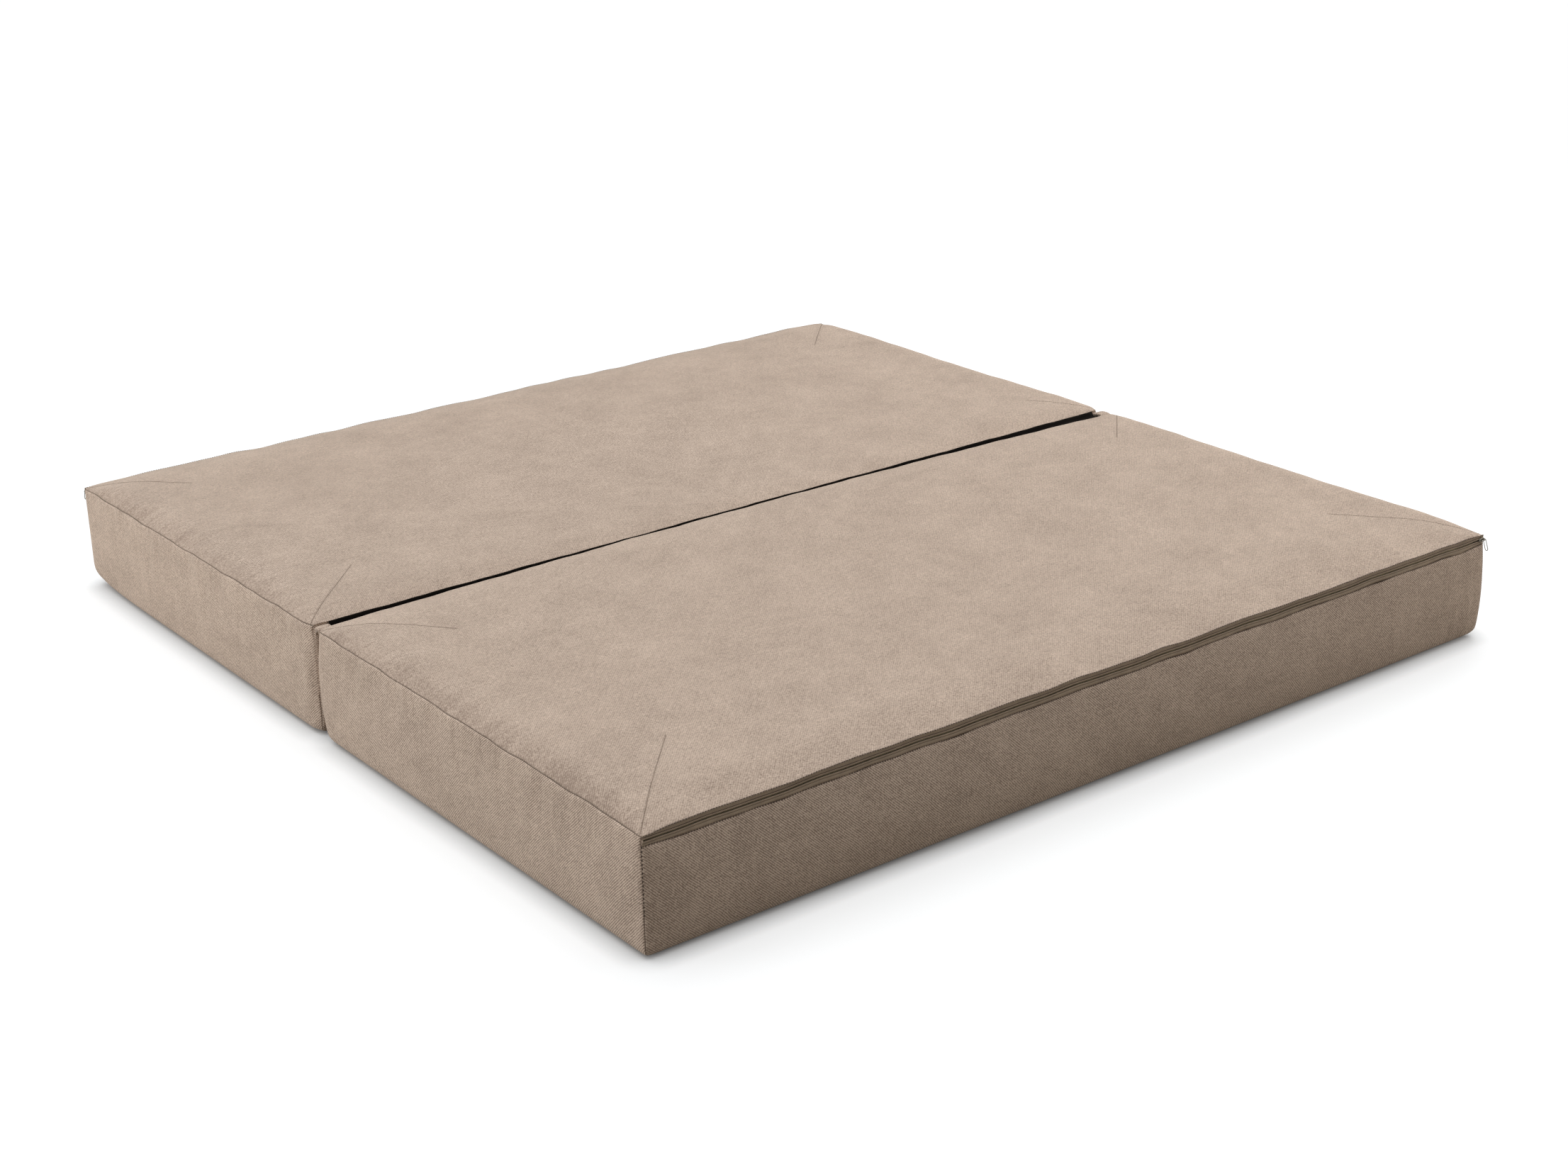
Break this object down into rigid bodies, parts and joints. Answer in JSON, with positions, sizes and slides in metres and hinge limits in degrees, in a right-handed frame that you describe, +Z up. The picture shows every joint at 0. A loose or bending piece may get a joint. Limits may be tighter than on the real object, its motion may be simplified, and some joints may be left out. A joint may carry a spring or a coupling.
{
  "type": "sofa bed",
  "caption": "Low fold-out sofa bed: two long foam cushions in zipped twill covers, lying flat and joined along one edge by a fabric hinge, so that one folds over the other.",
  "frame": {"origin": "on the floor, under the middle of the fold between the two cushions, at rest unfolded", "axes": "+Z up, X along the fold and the zips, -Y toward the front cushion, +Y toward the back cushion"},
  "size_m": [2, 2.0898, 0.2353],
  "materials": {
    "cover_cloth": "matte",
    "wadding": "matte",
    "foam": "matte",
    "zip_tape": "matte",
    "zip_coil": "satin",
    "zip_metal": "satin",
    "hinge_cloth": "matte"
  },
  "bodies": {
    "front_cushion": {"front_top_panel": "cover_cloth", "front_lower_cover": "cover_cloth", "front_wadding_top": "wadding", "front_foam_core": "foam", "front_wadding_base": "wadding", "front_zip_tape_upper": "zip_tape", "front_zip_tape_lower": "zip_tape", "front_zip_coil_upper": "zip_coil", "front_zip_coil_lower": "zip_coil", "hinge_strip": "hinge_cloth", "hinge_tab_left": "cover_cloth", "hinge_tab_right": "cover_cloth"},
    "back_cushion": {"back_top_panel": "cover_cloth", "back_lower_cover": "cover_cloth", "back_wadding_top": "wadding", "back_foam_core": "foam", "back_wadding_base": "wadding", "back_zip_tape_upper": "zip_tape", "back_zip_tape_lower": "zip_tape", "back_zip_coil_upper": "zip_coil", "back_zip_coil_lower": "zip_coil"},
    "front_slider": {"front_zip_slider": "zip_metal"},
    "front_pull": {"front_zip_pull": "zip_metal"},
    "back_slider": {"back_zip_slider": "zip_metal"},
    "back_pull": {"back_zip_pull": "zip_metal"}
  },
  "joints": [
    {"name": "fold", "type": "hinge", "parent": "front_cushion", "child": "back_cushion", "pos_m": [0, 0, 0.2368], "axis": [1, 0, 0], "range_deg": [0, 180]},
    {"name": "front_zip_run", "type": "slide", "parent": "front_cushion", "child": "front_slider", "axis": [-1, 0, 0], "range_m": [0, 1.974]},
    {"name": "front_pull_swing", "type": "hinge", "parent": "front_slider", "child": "front_pull", "pos_m": [0.99059, -1.0352, 0.205], "axis": [-1, 0, 0], "range_deg": [0, 120]},
    {"name": "back_zip_run", "type": "slide", "parent": "back_cushion", "child": "back_slider", "axis": [1, 0, 0], "range_m": [0, 1.974]},
    {"name": "back_pull_swing", "type": "hinge", "parent": "back_slider", "child": "back_pull", "pos_m": [-0.99059, 1.0352, 0.205], "axis": [1, 0, 0], "range_deg": [0, 120]}
  ]
}
